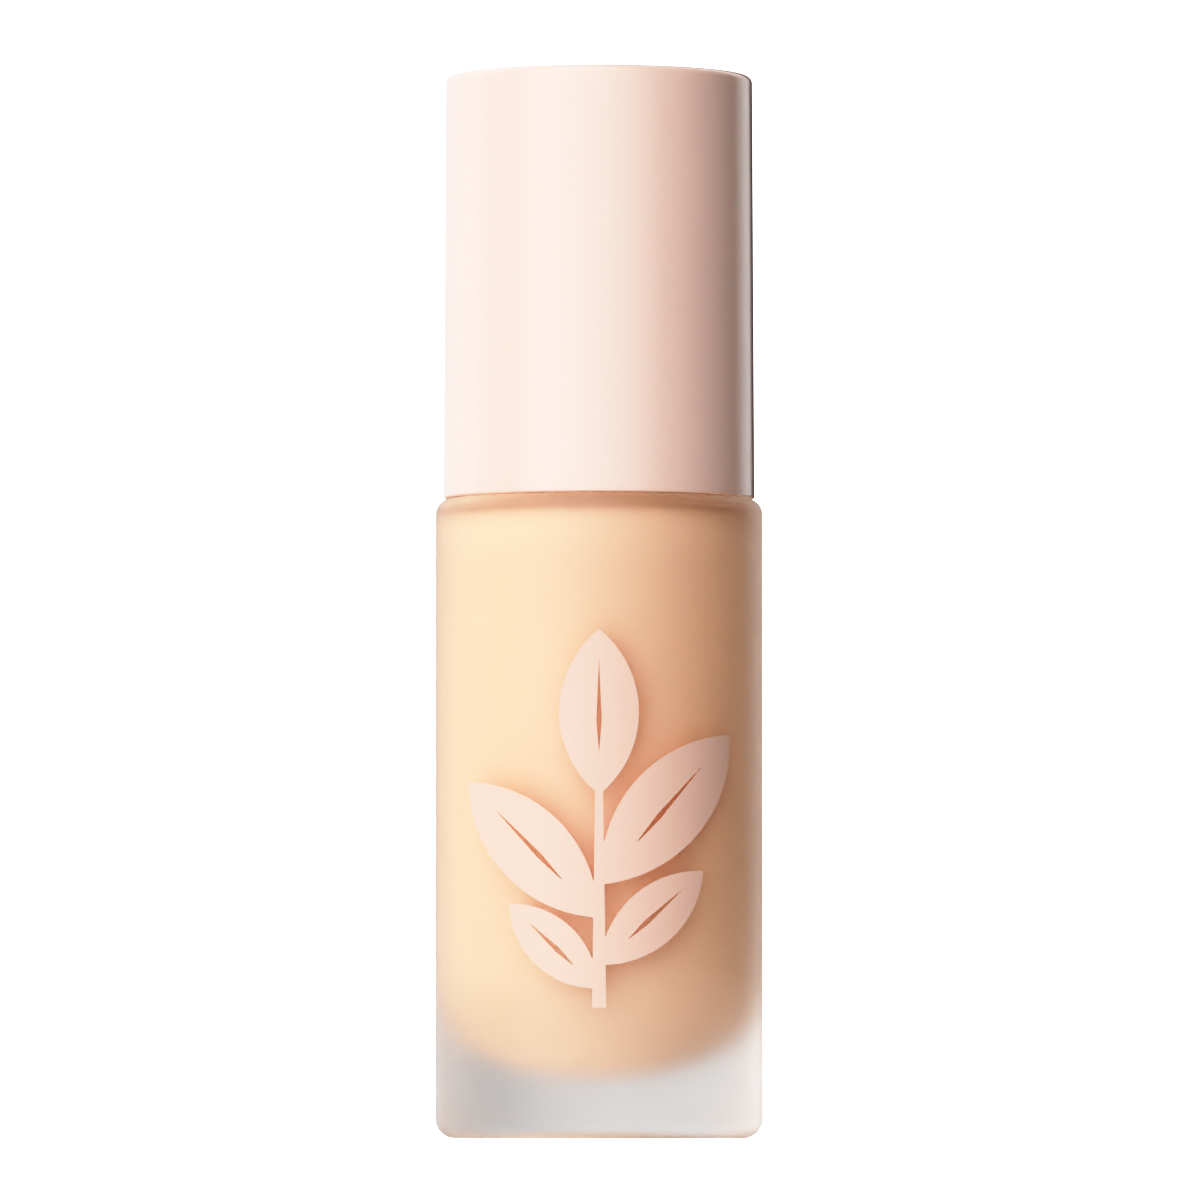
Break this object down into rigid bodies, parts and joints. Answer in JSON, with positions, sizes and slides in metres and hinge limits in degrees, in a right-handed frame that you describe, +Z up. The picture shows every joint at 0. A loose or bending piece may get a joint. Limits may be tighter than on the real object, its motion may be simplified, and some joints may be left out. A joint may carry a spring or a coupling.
{
  "type": "foundation bottle",
  "caption": "Frosted glass cylinder with a printed leaf sprig, full of liquid foundation, under a tall straight push-fit cap that hides a screw-on lotion pump.",
  "frame": {"origin": "middle of the base, in the plane that the bottle stands on", "axes": "+Z up along the bottle's axis, -Y towards the printed front and the spout"},
  "size_m": [0.035, 0.0351, 0.1138],
  "materials": {
    "frosted_glass": "satin, acid-frosted outside",
    "foundation": "opaque beige liquid",
    "print_pink": "satin screen-printed ink",
    "cap_pink": "polished pale pink",
    "cap_inner": "as moulded",
    "collar_pink": "polished pale pink",
    "button_pink": "polished pale pink",
    "natural_pp": "milky, as moulded",
    "tube_pe": "waxy, slightly clear",
    "spring_steel": "drawn stainless wire",
    "ball_steel": "ground and polished",
    "gasket": "soft foam"
  },
  "bodies": {
    "glass_body": {"bottle": "frosted_glass", "foundation_fill": "foundation", "front_motif": "print_pink"},
    "pump": {"neck_gasket": "gasket", "pump_housing": "natural_pp", "dip_tube": "tube_pe", "return_spring": "spring_steel", "turret": "natural_pp", "stem_seal": "gasket"},
    "collar": {"closure": "collar_pink", "collar_sleeve": "collar_pink"},
    "cap": {"overcap_shell": "cap_pink", "overcap_liner": "cap_inner"},
    "plunger": {"stem": "natural_pp", "piston": "tube_pe", "piston_rod": "natural_pp"},
    "button": {"actuator_shell": "button_pink", "actuator_core": "button_pink"},
    "ball": {"check_ball": "ball_steel"}
  },
  "joints": [
    {"name": "pump_rise", "type": "slide", "parent": "glass_body", "child": "pump", "axis": [0, 0, 1], "range_m": [0, 0.00556]},
    {"name": "collar_turn", "type": "hinge", "parent": "pump", "child": "collar", "pos_m": [0, 0, 0.078], "axis": [0, 0, 1], "range_deg": [0, 630]},
    {"name": "cap_lift", "type": "slide", "parent": "collar", "child": "cap", "axis": [0, 0, 1], "range_m": [0, 0.045]},
    {"name": "actuator_press", "type": "slide", "parent": "pump", "child": "plunger", "axis": [0, 0, 1], "range_m": [-0.0038, 0], "stiffness_N_per_m": 800, "springref_m": 0.006, "deforming": ["return_spring"]},
    {"name": "button_spin", "type": "hinge", "parent": "plunger", "child": "button", "pos_m": [0, 0, 0.095], "axis": [0, 0, 1], "continuous": true},
    {"name": "ball_lift", "type": "slide", "parent": "pump", "child": "ball", "axis": [0, 0, 1], "range_m": [0, 0.0013]}
  ],
  "couplings": [
    {"joint": "pump_rise", "follows": "collar_turn", "m_per_rad": 0.00050531}
  ]
}
